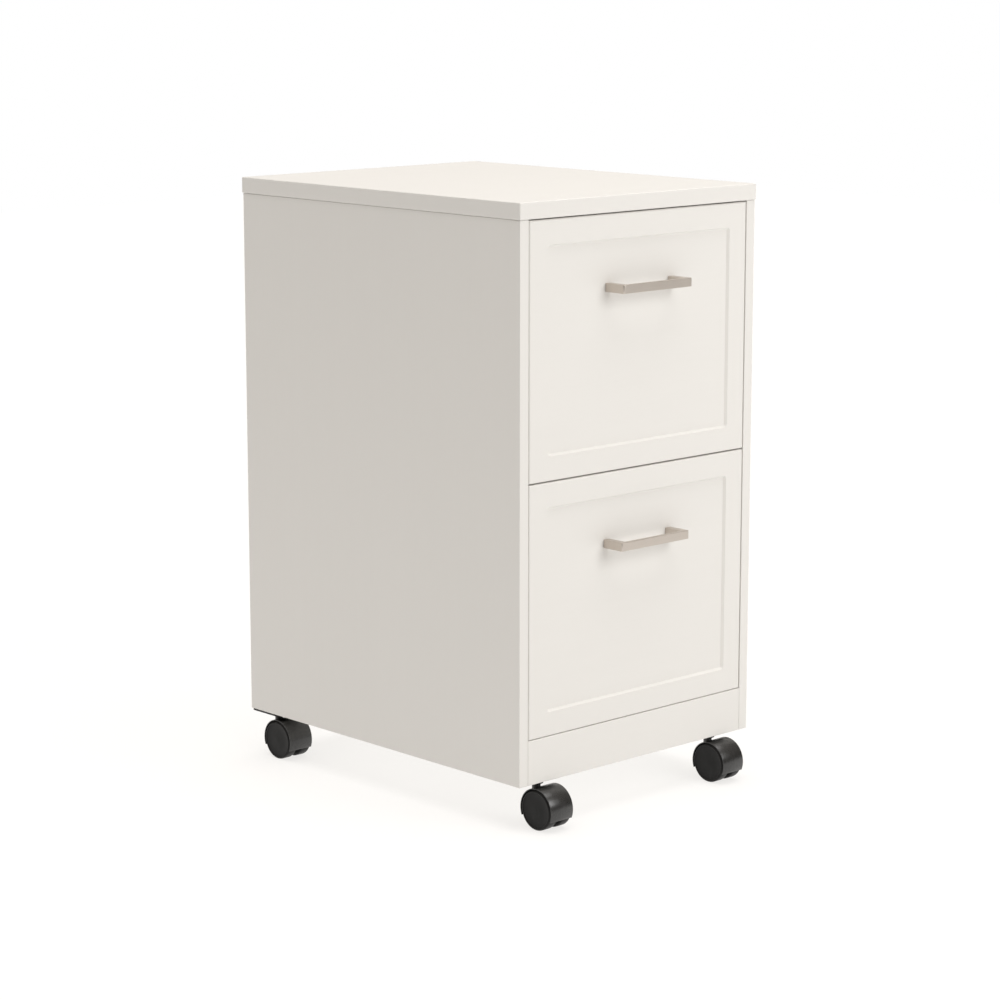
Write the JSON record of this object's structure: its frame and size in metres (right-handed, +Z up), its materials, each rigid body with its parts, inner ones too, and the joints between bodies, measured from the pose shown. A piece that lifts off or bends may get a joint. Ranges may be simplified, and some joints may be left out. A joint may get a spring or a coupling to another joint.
{
  "type": "mobile filing cabinet",
  "caption": "White laminate mobile file cabinet with routed inset drawer fronts, square bar pulls, telescopic slides, hanging-file rails and hooded twin-wheel swivel casters.",
  "frame": {"origin": "middle of the overall footprint, on the floor under the wheels", "axes": "+Z up, -Y out of the drawer fronts, +X to the right as seen from the front"},
  "size_m": [0.4002, 0.538, 0.7505],
  "materials": {
    "white_laminate": "satin white melamine laminate with a faint wood grain",
    "white_hardboard": "white painted hardboard",
    "drawer_box_laminate": "plain white laminated drawer board",
    "brushed_nickel": "brushed nickel plate",
    "zinc_steel": "bright zinc-plated sheet steel",
    "black_steel": "black coated steel",
    "black_nylon": "satin black moulded nylon"
  },
  "bodies": {
    "cabinet": {"top_panel": "white_laminate", "left_side_panel": "white_laminate", "right_side_panel": "white_laminate", "bottom_panel": "white_laminate", "back_panel": "white_hardboard", "kick_rail": "white_laminate", "mid_cross_rail": "white_laminate", "lower_left_slide_case_member": "zinc_steel", "lower_right_slide_case_member": "zinc_steel", "upper_left_slide_case_member": "zinc_steel", "upper_right_slide_case_member": "zinc_steel", "front_left_caster_plate": "black_steel", "front_right_caster_plate": "black_steel", "rear_left_caster_plate": "black_steel", "rear_right_caster_plate": "black_steel"},
    "lower_drawer": {"lower_drawer_front": "white_laminate", "lower_drawer_pull": "brushed_nickel", "lower_box_left": "drawer_box_laminate", "lower_box_right": "drawer_box_laminate", "lower_box_front": "drawer_box_laminate", "lower_box_back": "drawer_box_laminate", "lower_box_bottom": "white_hardboard", "lower_left_file_rail": "zinc_steel", "lower_left_slide_drawer_member": "zinc_steel", "lower_right_file_rail": "zinc_steel", "lower_right_slide_drawer_member": "zinc_steel"},
    "lower_slide_middles": {"lower_left_slide_middle_member": "zinc_steel", "lower_right_slide_middle_member": "zinc_steel"},
    "upper_drawer": {"upper_drawer_front": "white_laminate", "upper_drawer_pull": "brushed_nickel", "upper_box_left": "drawer_box_laminate", "upper_box_right": "drawer_box_laminate", "upper_box_front": "drawer_box_laminate", "upper_box_back": "drawer_box_laminate", "upper_box_bottom": "white_hardboard", "upper_left_file_rail": "zinc_steel", "upper_left_slide_drawer_member": "zinc_steel", "upper_right_file_rail": "zinc_steel", "upper_right_slide_drawer_member": "zinc_steel"},
    "upper_slide_middles": {"upper_left_slide_middle_member": "zinc_steel", "upper_right_slide_middle_member": "zinc_steel"},
    "front_left_caster": {"front_left_caster_housing": "black_nylon", "front_left_caster_axle": "zinc_steel"},
    "front_left_left_wheel": {"front_left_caster_left_wheel": "black_nylon"},
    "front_left_right_wheel": {"front_left_caster_right_wheel": "black_nylon"},
    "front_right_caster": {"front_right_caster_housing": "black_nylon", "front_right_caster_axle": "zinc_steel"},
    "front_right_left_wheel": {"front_right_caster_left_wheel": "black_nylon"},
    "front_right_right_wheel": {"front_right_caster_right_wheel": "black_nylon"},
    "rear_left_caster": {"rear_left_caster_housing": "black_nylon", "rear_left_caster_axle": "zinc_steel"},
    "rear_left_left_wheel": {"rear_left_caster_left_wheel": "black_nylon"},
    "rear_left_right_wheel": {"rear_left_caster_right_wheel": "black_nylon"},
    "rear_right_caster": {"rear_right_caster_housing": "black_nylon", "rear_right_caster_axle": "zinc_steel"},
    "rear_right_left_wheel": {"rear_right_caster_left_wheel": "black_nylon"},
    "rear_right_right_wheel": {"rear_right_caster_right_wheel": "black_nylon"}
  },
  "joints": [
    {"name": "lower_drawer_slide", "type": "slide", "parent": "cabinet", "child": "lower_drawer", "axis": [0, -1, 0], "range_m": [0, 0.4]},
    {"name": "lower_slide_middles_travel", "type": "slide", "parent": "cabinet", "child": "lower_slide_middles", "axis": [0, -1, 0], "range_m": [0, 0.2]},
    {"name": "upper_drawer_slide", "type": "slide", "parent": "cabinet", "child": "upper_drawer", "axis": [0, -1, 0], "range_m": [0, 0.4]},
    {"name": "upper_slide_middles_travel", "type": "slide", "parent": "cabinet", "child": "upper_slide_middles", "axis": [0, -1, 0], "range_m": [0, 0.2]},
    {"name": "front_left_swivel", "type": "hinge", "parent": "cabinet", "child": "front_left_caster", "pos_m": [-0.1505, -0.21882, 0.05], "axis": [0, 0, 1], "continuous": true},
    {"name": "front_left_left_wheel_spin", "type": "hinge", "parent": "front_left_caster", "child": "front_left_left_wheel", "pos_m": [-0.1505, -0.23683, 0.0247], "axis": [1, 0, 0], "continuous": true},
    {"name": "front_left_right_wheel_spin", "type": "hinge", "parent": "front_left_caster", "child": "front_left_right_wheel", "pos_m": [-0.1505, -0.23683, 0.0247], "axis": [1, 0, 0], "continuous": true},
    {"name": "front_right_swivel", "type": "hinge", "parent": "cabinet", "child": "front_right_caster", "pos_m": [0.1505, -0.21882, 0.05], "axis": [0, 0, 1], "continuous": true},
    {"name": "front_right_left_wheel_spin", "type": "hinge", "parent": "front_right_caster", "child": "front_right_left_wheel", "pos_m": [0.1505, -0.23683, 0.0247], "axis": [1, 0, 0], "continuous": true},
    {"name": "front_right_right_wheel_spin", "type": "hinge", "parent": "front_right_caster", "child": "front_right_right_wheel", "pos_m": [0.1505, -0.23683, 0.0247], "axis": [1, 0, 0], "continuous": true},
    {"name": "rear_left_swivel", "type": "hinge", "parent": "cabinet", "child": "rear_left_caster", "pos_m": [-0.1787, 0.23608, 0.05], "axis": [0, 0, 1], "continuous": true},
    {"name": "rear_left_left_wheel_spin", "type": "hinge", "parent": "rear_left_caster", "child": "rear_left_left_wheel", "pos_m": [-0.1787, 0.21807, 0.0247], "axis": [1, 0, 0], "continuous": true},
    {"name": "rear_left_right_wheel_spin", "type": "hinge", "parent": "rear_left_caster", "child": "rear_left_right_wheel", "pos_m": [-0.1787, 0.21807, 0.0247], "axis": [1, 0, 0], "continuous": true},
    {"name": "rear_right_swivel", "type": "hinge", "parent": "cabinet", "child": "rear_right_caster", "pos_m": [0.1787, 0.23608, 0.05], "axis": [0, 0, 1], "continuous": true},
    {"name": "rear_right_left_wheel_spin", "type": "hinge", "parent": "rear_right_caster", "child": "rear_right_left_wheel", "pos_m": [0.1787, 0.21807, 0.0247], "axis": [1, 0, 0], "continuous": true},
    {"name": "rear_right_right_wheel_spin", "type": "hinge", "parent": "rear_right_caster", "child": "rear_right_right_wheel", "pos_m": [0.1787, 0.21807, 0.0247], "axis": [1, 0, 0], "continuous": true}
  ],
  "couplings": [
    {"joint": "lower_slide_middles_travel", "follows": "lower_drawer_slide", "ratio": 0.5},
    {"joint": "upper_slide_middles_travel", "follows": "upper_drawer_slide", "ratio": 0.5}
  ]
}
